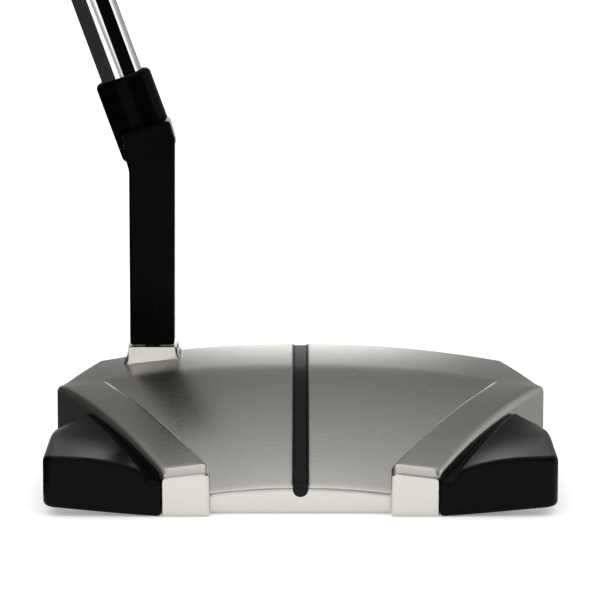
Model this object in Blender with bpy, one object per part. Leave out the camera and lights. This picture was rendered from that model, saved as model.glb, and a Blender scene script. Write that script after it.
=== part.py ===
"""Mallet putter: a milled head with two bolted-on rear wings, an offset neck, a shaft and a grip.

Sizes are in millimetres and degrees, and finish_piece() turns them into Blender's metres.
+X runs towards the toe, +Y towards the target and +Z up. The origin is on the sole, under the sight line.
"""

import math

import bmesh
import bpy
from mathutils import Matrix, Vector

MM = 0.001
GAP = 0.3            # clearance between neighbouring solids

# Head outline, seen from above, for the toe half
FACE_Y = 36.0        # top edge of the face
REAR_Y = -36.0
FACE_CORNER_X = 44.9
SHOULDER_X, SHOULDER_Y = 53.0, 17.1
BLOCK_OUTER_X, BLOCK_INNER_X = 28.2, 19.1
NOTCH_Y = -33.0      # centre rear wall, between the two rear blocks

# Head heights
LOFT = math.radians(3.0)
FACE_TOP_Z = 23.9
LEADING_EDGE = 2.0   # chamfer under the face
ROLL_Y, ROLL_Z = 16.3, 22.7      # where the deck starts to roll down to the rear
STEEP_Y = 10.3
FRONT_SLOPE, ROLL_SLOPE, REAR_SLOPE = 0.06, 0.22, 0.54
FRONT_ARCH, REAR_ARCH = 0.00205, 0.0035
RIDGE_FRONT = (45.0, 20.6)
RIDGE_REAR_X = 19.1
RIDGE_Z, RIDGE_DROP = 18.5, 0.00259
ARM_SLOPE = 0.12
REAR_BEVEL = 1.7
EDGE_CHAMFER = 1.3
SOLE_FLAT_X = 28.0
SOLE_RISE = 0.1
SOLE_CORNER, WALL_CORNER = 2.5, 0.4      # lower corners at the sides, and under the wings' walls

# Wings
WING_X = 52.7
WING_GAP = 0.4
WING_TIP_Y = 14.0
WING_EDGE_Z, WING_TIP_Z, WING_FALL_Y = 12.5, 8.0, -13.0
CREASE_REAR_Z, CREASE_TOP_Z, CREASE_TIP_Z = 9.5, 13.6, 8.0
CHANNEL_WIDTH = 4.0
CHANNEL_Z = 7.3
TAB_OUTLINE = ((43.0, 2.0), (49.0, 2.0), (49.0, -30.0), (27.0, -30.0))
TAB_LOW, TAB_HIGH = 1.8, 5.0
WING_SCREWS = ((46.0, -7.0), (42.5, -24.0))
PAD_FRONT_Y, PAD_REAR_Y = -3.0, -26.0
PAD_LOW, PAD_HIGH = 6.2, 8.8
PAD_THICKNESS = 0.7

# Sight line
SIGHT_WIDTH = 3.3
SIGHT_DEPTH, INLAY_TOP, INLAY_BOTTOM = 1.2, 0.4, 0.9

# Face insert, measured in the plane of the face
INSERT_HALF_WIDTH, INSERT_LOW, INSERT_HIGH = 28.5, 4.2, 18.6
INSERT_THICKNESS, BACKING_THICKNESS = 4.0, 0.8
GROOVE_PITCH, GROOVE_WIDTH, GROOVE_DEPTH = 1.6, 0.6, 0.4
GROOVES_EACH_SIDE = 4

# Sole plate and the hollow that it covers
PLATE_HALF_X, PLATE_FRONT_Y, PLATE_REAR_Y = 26.0, 24.0, -18.0
PLATE_CORNER = 4.0
PLATE_THICKNESS = 1.6
HOLLOW_HALF_X, HOLLOW_FRONT_Y, HOLLOW_REAR_Y = 19.5, 18.0, -11.5
HOLLOW_HIGH, DAMPER_HIGH = 11.0, 8.0
PLATE_SCREWS = ((22.7, 20.7), (-22.7, 20.7), (-22.7, -14.7), (22.7, -14.7))

# Sole weights and their captive screws
PORT_X, PORT_Y = 36.0, 13.5
PORT_RADIUS, PORT_HIGH = 8.0, 8.05
WEIGHT_RADIUS, WEIGHT_LOW, WEIGHT_HIGH = 7.6, 0.8, 6.3
SEAL_RADIUS, SEAL_THICKNESS = 5.6, 0.55
WEIGHT_SHANK, WEIGHT_HEAD, WEIGHT_THREAD_HIGH = 2.4, 4.2, 16.0
HEAD_SHELF_Z = 4.2

# Neck
POST_X, POST_HALF_WIDTH = -32.6, 4.9
POST_REAR_Y, POST_FRONT_Y = 27.5, 34.5
BOSS_TOP_Z = 24.5
KNUCKLE = ((-27.5, 68.4), (-27.4, 70.2), (-28.7, 74.5), (-39.0, 71.3), (-38.3, 66.0), (-37.5, 63.4))
LIE = math.radians(20.0)         # lean of the shaft away from upright
BARREL_TOP = (-39.4, 39.0, 83.2)
BARREL_RADIUS, BARREL_LENGTH, BARREL_ROUND = 6.3, 18.4, 1.2
SOCKET_DEPTH = 16.3
NECK_SCREW_Y, NECK_SCREW_HIGH = 31.0, 34.0

# Shaft and grip, measured along the shaft from the top of the barrel
CLUB_LENGTH = 863.6
BUTT = CLUB_LENGTH - BARREL_TOP[2] / math.cos(LIE)
TIP = -16.0
TIP_RADIUS, BUTT_RADIUS, WALL = 4.7, 7.5, 0.6
TAPER_START = 110.0
GRIP_LENGTH = 264.0
CAP_THICKNESS, CAP_STEM = 3.0, 12.0
TAPE_THICKNESS = 0.5
GRIP_FLAT_LOW, GRIP_FLAT_HIGH = 8.8, 11.6        # distance of the flat from the axis, at each end

# Screws: head radius, bottom and top of the head, shank radius, top of the shank
PLATE_SCREW = (2.5, 0.1, 1.4, 1.25, 7.0)
WING_SCREW = (2.8, 2.0, 3.8, 1.4, 9.3)
NECK_SCREW = (3.3, 0.9, 4.0, 1.65, NECK_SCREW_HIGH)

SMOOTH_ANGLE = math.radians(32)
HEEL, TOE = -1, 1
SIDES = (("heel", HEEL), ("toe", TOE))


# ---------------------------------------------------------------- head surfaces

def outer_x(y):
    """Half width of the milled body: it widens from the face to the shoulder, then narrows to the rear."""
    if y > SHOULDER_Y:
        part = (FACE_Y - y) / (FACE_Y - SHOULDER_Y)
        return FACE_CORNER_X + part * (SHOULDER_X - FACE_CORNER_X)
    part = (SHOULDER_Y - y) / (SHOULDER_Y - REAR_Y)
    return SHOULDER_X + part * (BLOCK_OUTER_X - SHOULDER_X)


def ridge_x(y):
    """Inner edge of the raised arm."""
    front_x, front_y = RIDGE_FRONT
    if y > front_y:
        return outer_x(y) * front_x / outer_x(front_y)
    return RIDGE_REAR_X + (y - REAR_Y) / (front_y - REAR_Y) * (front_x - RIDGE_REAR_X)


def centre_z(y):
    """Height of the deck on the sight line: nearly level, then rolling down more and more steeply."""
    if y >= ROLL_Y:
        return ROLL_Z + FRONT_SLOPE * (y - ROLL_Y)
    back = min(ROLL_Y - y, ROLL_Y - STEEP_Y)
    bend = (ROLL_SLOPE - FRONT_SLOPE) / (ROLL_Y - STEEP_Y)
    height = ROLL_Z - FRONT_SLOPE * back - 0.5 * bend * back ** 2
    if y < STEEP_Y:
        back = STEEP_Y - y
        bend = (REAR_SLOPE - ROLL_SLOPE) / (STEEP_Y - NOTCH_Y)
        height -= ROLL_SLOPE * back + 0.5 * bend * back ** 2
    return height


def deck_z(x, y):
    """Height of the crowned deck."""
    rear_part = max(0.0, (ROLL_Y - y) / (ROLL_Y - NOTCH_Y))
    arch = FRONT_ARCH + rear_part * (REAR_ARCH - FRONT_ARCH)
    return centre_z(y) - arch * x ** 2


def arm_z(x, y):
    """Height of the arm, which never dips below the deck."""
    ridge = RIDGE_Z - RIDGE_DROP * (RIDGE_FRONT[1] - y) ** 2
    return max(deck_z(x, y), ridge - ARM_SLOPE * (x - ridge_x(y))) if y < RIDGE_FRONT[1] else deck_z(x, y)


def sole_z(x):
    """Height of the underside: flat in the middle and rising towards heel and toe."""
    past = max(0.0, abs(x) - SOLE_FLAT_X)
    return SOLE_RISE * past ** 2 / (past + 5.0)


def face_y(z):
    """The face leans back by its loft, about its top edge."""
    return FACE_Y + (FACE_TOP_Z - z) * math.tan(LOFT)


# ---------------------------------------------------------------- mesh builders

def loft(rows):
    """A closed body through loops of points that all have the same length, with its ends filled."""
    bm = bmesh.new()
    loops = [[bm.verts.new(point) for point in row] for row in rows]
    count = len(loops[0])
    for near, far in zip(loops, loops[1:]):
        for i in range(count):
            j = (i + 1) % count
            bm.faces.new((near[i], near[j], far[j], far[i]))
    bm.faces.new(loops[0])
    bm.faces.new(loops[-1])
    return bm


def prism(outline, low, high, axis="z"):
    """An outline extruded along an axis. It holds (x, y) for z, (x, z) for y, and (y, z) for x."""
    place = {
        "x": lambda a, b, along: (along, a, b),
        "y": lambda a, b, along: (a, along, b),
        "z": lambda a, b, along: (a, b, along),
    }[axis]
    return loft([[place(a, b, along) for a, b in outline] for along in (low, high)])


def box(low, high):
    outline = ((low[0], low[1]), (high[0], low[1]), (high[0], high[1]), (low[0], high[1]))
    return prism(outline, low[2], high[2])


def turned(profile, steps, ring=False):
    """A profile of (radius, height) turned about Z. With ring, its last point joins its first."""
    bm = bmesh.new()
    angles = [2 * math.pi * i / steps for i in range(steps)]
    loops = []
    for radius, height in profile:
        if radius == 0:
            loops.append([bm.verts.new((0, 0, height))])
        else:
            loops.append([bm.verts.new((radius * math.cos(a), radius * math.sin(a), height)) for a in angles])
    pairs = list(zip(loops, loops[1:]))
    if ring:
        pairs.append((loops[-1], loops[0]))
    for low, high in pairs:
        for i in range(steps):
            j = (i + 1) % steps
            corners = (low[i % len(low)], low[j % len(low)], high[j % len(high)], high[i % len(high)])
            bm.faces.new(dict.fromkeys(corners))
    return bm


def rod(radius, low, high, steps=24):
    return turned(((0, low), (radius, low), (radius, high), (0, high)), steps)


def moved(bm, offset=(0, 0, 0), matrix=None):
    if matrix is not None:
        bmesh.ops.transform(bm, matrix=matrix, verts=bm.verts)
    bmesh.ops.translate(bm, vec=offset, verts=bm.verts)
    return bm


def joined(parts):
    """Several separate bodies in one mesh."""
    whole = bmesh.new()
    for bm in parts:
        mesh = bpy.data.meshes.new("part")
        bm.to_mesh(mesh)
        bm.free()
        whole.from_mesh(mesh)
        bpy.data.meshes.remove(mesh)
    return whole


def rounded_outline(low_x, low_y, high_x, high_y, radius, steps=4):
    """A rectangle with round corners."""
    points = []
    corners = ((high_x, high_y, 0), (low_x, high_y, 90), (low_x, low_y, 180), (high_x, low_y, 270))
    for x, y, start in corners:
        middle_x = x - math.copysign(radius, x - (low_x + high_x) / 2)
        middle_y = y - math.copysign(radius, y - (low_y + high_y) / 2)
        for i in range(steps + 1):
            angle = math.radians(start + 90 * i / steps)
            points.append((middle_x + radius * math.cos(angle), middle_y + radius * math.sin(angle)))
    return points


def screw_body(head_radius, head_low, head_high, shank_radius, shank_high, steps=16):
    """A countersunk screw that points up, with a hexagon socket sunk into its head."""
    socket_radius, socket_depth = 0.5 * head_radius, 0.55 * (head_high - head_low)
    profile = (
        (0, head_low), (head_radius, head_low), (head_radius, head_low + 0.4 * (head_high - head_low)),
        (shank_radius, head_high), (shank_radius, shank_high - 0.6), (shank_radius - 0.5, shank_high),
        (0, shank_high),
    )
    socket = rod(socket_radius, head_low - 1, head_low + socket_depth, 6)
    return turned(profile, steps), socket


# ---------------------------------------------------------------- objects

def make_material(name, colour, roughness, metallic):
    material = bpy.data.materials.new(name)
    material.use_nodes = True
    shader = material.node_tree.nodes["Principled BSDF"]
    shader.inputs["Base Color"].default_value = (*colour, 1)
    shader.inputs["Roughness"].default_value = roughness
    shader.inputs["Metallic"].default_value = metallic
    return material


def make_object(name, bm):
    """Turn millimetres into metres, and faces outwards."""
    bmesh.ops.recalc_face_normals(bm, faces=bm.faces)
    bmesh.ops.scale(bm, vec=(MM, MM, MM), verts=bm.verts)
    mesh = bpy.data.meshes.new(name)
    bm.to_mesh(mesh)
    bm.free()
    piece = bpy.data.objects.new(name, mesh)
    bpy.context.scene.collection.objects.link(piece)
    return piece


def finish_piece(name, bm, material, parent=None, location=(0, 0, 0)):
    piece = make_object(name, bm)
    piece.location = Vector(location) * MM
    piece.parent = parent
    piece.data.materials.append(material)
    piece.data.shade_smooth()
    piece.data.set_sharp_from_angle(angle=SMOOTH_ANGLE)
    return piece


def combine(piece, bm, operation="DIFFERENCE"):
    """Cut a body from a piece or join one to it, through a hidden helper in the piece's own frame."""
    count = len(piece.modifiers) + 1
    helper = make_object(f"{piece.name}_helper_{count}", bm)
    helper.parent = piece
    helper.hide_render = True
    helper.display_type = "WIRE"
    modifier = piece.modifiers.new(f"Step {count}", "BOOLEAN")
    modifier.operation = operation
    modifier.solver = "EXACT"
    modifier.object = helper


# ---------------------------------------------------------------- the head

def body_row(y, top_drop=0.0, on_face=False):
    """One loop of the body across the club: over the deck and arms, and back along the sole."""
    width, ridge = outer_x(y), ridge_x(y)
    low = LEADING_EDGE if on_face else 0.0
    half = [(0.0, centre_z(y))]
    half += [(part * ridge, deck_z(part * ridge, y)) for part in (0.4, 0.75)]
    half.append((ridge - 0.35, deck_z(ridge - 0.35, y)))
    half.append((ridge + 0.35, arm_z(ridge + 0.35, y)))
    half.append(((ridge + width) / 2, arm_z((ridge + width) / 2, y)))
    edge = width - EDGE_CHAMFER
    half.append((edge, arm_z(edge, y)))
    half.append((width, arm_z(width, y) - EDGE_CHAMFER))
    half = [(x, z - top_drop) for x, z in half]
    corner = SOLE_CORNER if y > WING_TIP_Y else WALL_CORNER
    half.append((width, low + sole_z(width) + corner))
    half.append((width - corner, low + sole_z(width - corner)))
    inner = min(SOLE_FLAT_X, width - 6)
    half.append((inner, low))
    half.append((0.0, low))
    loop = half + [(-x, z) for x, z in reversed(half[1:-1])]
    return [(x, face_y(z) if on_face else y, z) for x, z in loop]


def make_head_body(material):
    rows = [body_row(FACE_Y, on_face=True)]
    stations = (34.5, 28, RIDGE_FRONT[1], SHOULDER_Y, 12.5, 8, 3, -3, -9, -15, -21, -26, -30.5)
    rows += [body_row(y) for y in stations]
    rows += [body_row(REAR_Y + REAR_BEVEL), body_row(REAR_Y, top_drop=REAR_BEVEL)]
    body = finish_piece("head_body", loft(rows), material)

    boss = [
        [(POST_X + side * half, y, z) for side, y in ((-1, rear), (1, rear), (1, front), (-1, front))]
        for half, rear, front, z in (
            (6.8, 25.8, 35.2, 17.0), (6.6, 26.0, 35.2, 21.6),
            (5.5, 26.9, 35.2, 23.0), (5.2, 27.2, 34.9, BOSS_TOP_Z),
        )
    ]
    combine(body, loft(boss), "UNION")
    for _, side in SIDES:
        tab = prism([(side * x, y) for x, y in TAB_OUTLINE], TAB_LOW, TAB_HIGH)
        combine(body, tab, "UNION")

    inner = BLOCK_INNER_X
    combine(body, box((-inner, REAR_Y - 5, -5), (inner, NOTCH_Y, 30)))
    combine(body, sight_line_strip(SIGHT_WIDTH / 2, -8.0, SIGHT_DEPTH, FACE_Y + 4, REAR_Y))
    pocket_depth = INSERT_THICKNESS + BACKING_THICKNESS + 2 * GAP
    combine(body, insert_block(INSERT_HALF_WIDTH + GAP, -GAP, pocket_depth, 3.0))
    combine(body, box(
        (-HOLLOW_HALF_X, HOLLOW_REAR_Y, -2), (HOLLOW_HALF_X, HOLLOW_FRONT_Y, HOLLOW_HIGH),
    ))
    combine(body, plate_block(-GAP, -2, PLATE_THICKNESS + GAP))
    combine(body, joined([moved(rod(1.6, 0, 7.5, 16), (x, y, 0)) for x, y in PLATE_SCREWS]))
    for _, side in SIDES:
        port = turned((
            (0, -3), (PORT_RADIUS, -3), (PORT_RADIUS, PORT_HIGH), (WEIGHT_SHANK + GAP, PORT_HIGH),
            (WEIGHT_SHANK + GAP, WEIGHT_THREAD_HIGH + GAP), (0, WEIGHT_THREAD_HIGH + GAP),
        ), 32)
        combine(body, moved(port, (side * PORT_X, PORT_Y, 0)))
        hole = ((0, -3), (3.1, -3), (3.1, 3.2), (1.8, 4.1), (1.8, 8), (0, 8))
        combine(body, joined([moved(turned(hole, 16), (side * x, y, 0)) for x, y in WING_SCREWS]))
    neck_hole = ((0, -3), (3.7, -3), (3.7, 3.2), (2.0, 4.4), (2.0, 30), (0, 30))
    combine(body, moved(turned(neck_hole, 16), (POST_X, NECK_SCREW_Y, 0)))
    return body


def sight_line_strip(half_width, top, bottom, front_y, rear_y):
    """A strip that follows the deck along the sight line, between two depths under its surface."""
    count = 12
    rows = []
    for i in range(count + 1):
        y = front_y + (rear_y - front_y) * i / count
        surface = centre_z(y)
        rows.append([
            (side * half_width, y, surface - depth)
            for side, depth in ((-1, bottom), (1, bottom), (1, top), (-1, top))
        ])
    return loft(rows)


def face_matrix():
    """The face's own frame: Y out of the face, Z up the face, and the origin on the ground line."""
    return Matrix.Translation((0, face_y(0), 0)) @ Matrix.Rotation(LOFT, 4, "X")


def insert_block(half_width, inset, depth, proud):
    """A block let into the face to a depth, and standing proud of it."""
    low, high = INSERT_LOW + inset, INSERT_HIGH - inset
    outline = rounded_outline(-half_width, low, half_width, high, 3.0)
    return moved(prism(outline, -depth, proud, "y"), matrix=face_matrix())


def make_face_insert(material, backing_material):
    """The grooves run across the face, above and below a plain band in its middle."""
    block = insert_block(INSERT_HALF_WIDTH, 0, INSERT_THICKNESS, 0)
    insert = finish_piece("face_insert", block, material)
    middle, end = (INSERT_LOW + INSERT_HIGH) / 2, INSERT_HALF_WIDTH + 1
    cuts = []
    for step in range(1, GROOVES_EACH_SIDE + 1):
        for z in (middle - step * GROOVE_PITCH, middle + step * GROOVE_PITCH):
            low, high = z - GROOVE_WIDTH / 2, z + GROOVE_WIDTH / 2
            cuts.append(box((-end, -GROOVE_DEPTH, low), (end, 1, high)))
    combine(insert, moved(joined(cuts), matrix=face_matrix()))
    backing_rear = -INSERT_THICKNESS - GAP
    backing = insert_block(INSERT_HALF_WIDTH, 0, BACKING_THICKNESS - backing_rear, backing_rear)
    finish_piece("insert_backing", backing, backing_material)


def plate_block(grow, low, high):
    x = PLATE_HALF_X - grow
    outline = rounded_outline(-x, PLATE_REAR_Y + grow, x, PLATE_FRONT_Y - grow, PLATE_CORNER)
    return prism(outline, low, high)


def make_sole_plate(material, screw_material, damper_material):
    plate = finish_piece("sole_plate", plate_block(0, 0, PLATE_THICKNESS), material)
    hole = ((0, -1), (2.9, -1), (2.9, 0.6), (1.6, 1.5), (1.6, 3), (0, 3))
    combine(plate, joined([moved(turned(hole, 16), (x, y, 0)) for x, y in PLATE_SCREWS]))
    for number, place in enumerate(PLATE_SCREWS, 1):
        make_screw(f"sole_plate_screw_{number}", place, PLATE_SCREW, screw_material)
    inset = GAP + 0.2
    damper = box(
        (-HOLLOW_HALF_X + inset, HOLLOW_REAR_Y + inset, PLATE_THICKNESS + GAP),
        (HOLLOW_HALF_X - inset, HOLLOW_FRONT_Y - inset, DAMPER_HIGH),
    )
    finish_piece("cavity_damper", damper, damper_material)


def make_screw(name, place, sizes, material):
    body, socket = screw_body(*sizes)
    screw = finish_piece(name, body, material, location=(*place, 0))
    combine(screw, socket)


# ---------------------------------------------------------------- the wings

def wing_edge_z(y):
    """Height of the wing's outer top edge, which falls away to the front tip."""
    fall = max(0.0, (y - WING_FALL_Y) / (SHOULDER_Y - WING_FALL_Y))
    return WING_EDGE_Z - (WING_EDGE_Z - WING_TIP_Z) * fall ** 1.7


def wing_crease_z(y):
    """Height of the pad's inner edge: it climbs from the rear, then drops along the body's wall."""
    if y > 0:
        return CREASE_TOP_Z - (CREASE_TOP_Z - CREASE_TIP_Z) * y / SHOULDER_Y
    return CREASE_TOP_Z - (CREASE_TOP_Z - CREASE_REAR_Z) * (y / REAR_Y) ** 1.6


def wing_row(side, y):
    """One loop of a wing across the club: channel, crease, pad top, outer side and underside."""
    inner = outer_x(y) + WING_GAP
    width = WING_X - inner
    rear_part = max(0.0, y / REAR_Y)
    crease_x = inner + 0.08 * width + CHANNEL_WIDTH * rear_part
    floor = min(wing_crease_z(y) - 0.3, arm_z(outer_x(y), y) - EDGE_CHAMFER - 0.4)
    floor += (CHANNEL_Z - floor) * rear_part ** 4
    round_off = min(1.2, 0.3 * width)
    pad = WING_X - round_off - crease_x
    points = [(inner, sole_z(inner)), (inner, floor), (crease_x - 0.05 * width, floor)]
    power = 1 + 1.8 * rear_part
    for part in (0, 0.25, 0.55, 1):
        blend = 1 - (1 - part) ** power
        height = wing_crease_z(y) + (wing_edge_z(y) - wing_crease_z(y)) * blend
        points.append((crease_x + part * pad, height))
    points.append((WING_X, wing_edge_z(y) - round_off))
    points.append((WING_X, sole_z(WING_X) + 0.35 * width ** 0.6))
    points.append((WING_X - 0.3 * min(width, 8), sole_z(WING_X - 0.3 * min(width, 8))))
    return [(side * x, y, z) for x, z in points]


def make_wing(name, side, material, pad_material, screw_material):
    stations = (REAR_Y, -33, -28, -22, -16, -10, -5, 0, 5, 10, WING_TIP_Y)
    wing = finish_piece(f"{name}_wing", loft([wing_row(side, y) for y in stations]), material)

    grow = 0.4
    outline = [
        (side * (x + math.copysign(grow, x - 40)), y + math.copysign(grow, y + 15)) for x, y in TAB_OUTLINE
    ]
    combine(wing, prism(outline, -2, TAB_HIGH + GAP))
    combine(wing, damping_strip(side, WING_GAP - 1, WING_GAP + PAD_THICKNESS + GAP, GAP))
    holes = [moved(rod(1.75, 4, 9.8, 16), (side * x, y, 0)) for x, y in WING_SCREWS]
    combine(wing, joined(holes))

    strip = damping_strip(side, GAP, GAP + PAD_THICKNESS, 0)
    finish_piece(f"{name}_wing_pad", strip, pad_material)
    for number, (x, y) in enumerate(WING_SCREWS, 1):
        make_screw(f"{name}_wing_screw_{number}", (side * x, y), WING_SCREW, screw_material)


def damping_strip(side, near, far, grow):
    """A strip along the body's slanted wall, between two distances from it."""
    rows = []
    for y in (PAD_FRONT_Y + grow, PAD_REAR_Y - grow):
        wall = outer_x(y)
        low, high = PAD_LOW - grow, PAD_HIGH + grow
        section = ((near, low), (far, low), (far, high), (near, high))
        rows.append([(side * (wall + out), y, z) for out, z in section])
    return loft(rows)


# ---------------------------------------------------------------- sole weights

def make_weight(name, side, material, screw_material, seal_material):
    """The weight slides in its port and carries a captive screw, which turns on the same axis."""
    place = (side * PORT_X, PORT_Y, 0)
    clear = WEIGHT_SHANK + GAP
    profile = (
        (clear, WEIGHT_HIGH), (clear, HEAD_SHELF_Z + GAP), (WEIGHT_HEAD + GAP, HEAD_SHELF_Z + GAP),
        (WEIGHT_HEAD + GAP, WEIGHT_LOW), (WEIGHT_RADIUS - 0.5, WEIGHT_LOW), (WEIGHT_RADIUS, WEIGHT_LOW + 0.5),
        (WEIGHT_RADIUS, WEIGHT_HIGH - 0.4), (WEIGHT_RADIUS - 0.4, WEIGHT_HIGH),
    )
    finish_piece(f"{name}_weight", turned(profile, 32, ring=True), material, location=place)

    head_low = WEIGHT_LOW + 0.6
    screw_profile = (
        (0, head_low), (WEIGHT_HEAD - 0.4, head_low),
        (WEIGHT_HEAD, head_low + 0.4), (WEIGHT_HEAD, HEAD_SHELF_Z),
        (WEIGHT_SHANK, HEAD_SHELF_Z), (WEIGHT_SHANK, WEIGHT_THREAD_HIGH - 0.8),
        (WEIGHT_SHANK - 0.7, WEIGHT_THREAD_HIGH), (0, WEIGHT_THREAD_HIGH),
    )
    screw = finish_piece(f"{name}_weight_screw", turned(screw_profile, 24), screw_material, location=place)
    combine(screw, rod(2.1, head_low - 1, head_low + 1.7, 6))

    seal_z = WEIGHT_HIGH + GAP + SEAL_THICKNESS
    circle = [
        (SEAL_RADIUS + SEAL_THICKNESS * math.cos(2 * math.pi * i / 8),
         seal_z + SEAL_THICKNESS * math.sin(2 * math.pi * i / 8))
        for i in range(8)
    ]
    finish_piece(f"{name}_weight_seal", turned(circle, 24, ring=True), seal_material, location=place)


# ---------------------------------------------------------------- neck, shaft and grip

def shaft_frame():
    """An empty at the top of the barrel whose Z runs up the shaft and whose X faces the thumbs."""
    frame = bpy.data.objects.new("shaft_axis", None)
    bpy.context.scene.collection.objects.link(frame)
    frame.location = Vector(BARREL_TOP) * MM
    frame.rotation_euler = (0, -LIE, 0)
    return frame


def make_neck(material, screw_material):
    shaft_matrix = Matrix.Translation(BARREL_TOP) @ Matrix.Rotation(-LIE, 4, "Y")
    foot = BOSS_TOP_Z + GAP
    post = [(POST_X - POST_HALF_WIDTH, foot), (POST_X + POST_HALF_WIDTH, foot), *KNUCKLE]
    neck = finish_piece("hosel_neck", prism(post, POST_REAR_Y, POST_FRONT_Y, "y"), material)
    bevel = neck.modifiers.new("Post edges", "BEVEL")
    bevel.width = 0.9 * MM
    bevel.segments = 2
    bevel.limit_method = "ANGLE"
    bevel.angle_limit = math.radians(50)
    bridge = prism(KNUCKLE, POST_REAR_Y + 1, BARREL_TOP[1], "y")
    bmesh.ops.scale(bridge, vec=(0.97, 1, 1), space=Matrix.Translation((33, 0, 0)), verts=bridge.verts)
    combine(neck, bridge, "UNION")
    low = -BARREL_LENGTH
    barrel = turned((
        (0, low), (BARREL_RADIUS - BARREL_ROUND, low), (BARREL_RADIUS, low + BARREL_ROUND),
        (BARREL_RADIUS, -BARREL_ROUND), (BARREL_RADIUS - 0.35 * BARREL_ROUND, -0.35 * BARREL_ROUND),
        (BARREL_RADIUS - BARREL_ROUND, 0), (0, 0),
    ), 32)
    combine(neck, moved(barrel, matrix=shaft_matrix), "UNION")
    combine(neck, moved(rod(TIP_RADIUS + GAP, -SOCKET_DEPTH, 5, 32), matrix=shaft_matrix))
    combine(neck, moved(rod(1.9, foot - 3, NECK_SCREW_HIGH + GAP, 16), (POST_X, NECK_SCREW_Y, 0)))
    make_screw("neck_screw", (POST_X, NECK_SCREW_Y), NECK_SCREW, screw_material)


def shaft_radius(along):
    """Parallel at the tip, then an even taper up to the butt."""
    part = max(0.0, (along - TAPER_START) / (BUTT - TAPER_START))
    return TIP_RADIUS + part * (BUTT_RADIUS - TIP_RADIUS)


def tube(outer, inner, steps):
    """A tube from an outer and an inner line of (radius, height), both listed upwards."""
    return turned(list(outer) + list(reversed(inner)), steps, ring=True)


def grip_radius(part):
    """Radius of the grip's round back, from its lower end (0) to its upper end (1)."""
    palm = 2.2 * math.exp(-((part - 0.8) / 0.17) ** 2)
    return 9.9 + 2.6 * part + palm


def grip_loop(radius, along, steps):
    """A round section with a flat on its thumb side. The flat is one plane from end to end."""
    part = (along - BUTT + GRIP_LENGTH) / GRIP_LENGTH
    flat = GRIP_FLAT_LOW + part * (GRIP_FLAT_HIGH - GRIP_FLAT_LOW)
    loop = []
    for i in range(steps):
        angle = 2 * math.pi * i / steps
        x, y = radius * math.cos(angle), radius * math.sin(angle)
        loop.append((min(x, flat), y, along))
    return loop


def make_shaft_and_grip(frame, chrome, plug_material, tape_material, rubber, cap_material):
    top = BUTT - CAP_THICKNESS - GAP
    ends = (TIP, TAPER_START, top)
    outer = [(shaft_radius(s), s) for s in ends]
    inner = [(shaft_radius(s) - WALL, s) for s in ends]
    finish_piece("shaft", tube(outer, inner, 32), chrome, frame)
    finish_piece("shaft_tip_plug", rod(TIP_RADIUS - WALL - GAP, TIP + 1, TIP + 15, 20), plug_material, frame)

    bottom = BUTT - GRIP_LENGTH
    sleeve_ends = (bottom + 1, top)
    near, far = GAP, GAP + TAPE_THICKNESS
    sleeve_outer = [(shaft_radius(s) + far, s) for s in sleeve_ends]
    sleeve_inner = [(shaft_radius(s) + near, s) for s in sleeve_ends]
    finish_piece("grip_tape", tube(sleeve_outer, sleeve_inner, 32), tape_material, frame)

    steps, rings = 32, 14
    length = top - bottom
    rows = [grip_loop(grip_radius(0) - 1.2, bottom, steps)]
    rows += [
        grip_loop(grip_radius(i / rings), bottom + (2.0 if i == 0 else 0) + length * i / rings, steps)
        for i in range(rings + 1)
    ]
    grip = finish_piece("grip", loft(rows), rubber, frame)
    narrow, wide = shaft_radius(bottom) + far + GAP, shaft_radius(top) + far + GAP
    combine(grip, turned(((0, bottom - 1), (narrow, bottom - 1), (wide, top + 1), (0, top + 1)), 32))

    cap_low = BUTT - CAP_THICKNESS
    radius = grip_radius(1)
    cap_rings = ((radius, cap_low), (radius, BUTT - 1), (radius - 1, BUTT))
    cap_rows = [grip_loop(wide, along, steps) for wide, along in cap_rings]
    cap = finish_piece("grip_end_cap", loft(cap_rows), cap_material, frame)
    combine(cap, rod(shaft_radius(BUTT) - WALL - 0.4, cap_low - CAP_STEM, cap_low + 0.5, 24), "UNION")
    combine(cap, rod(1.5, cap_low - CAP_STEM - 2, BUTT + 2, 12))


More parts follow.
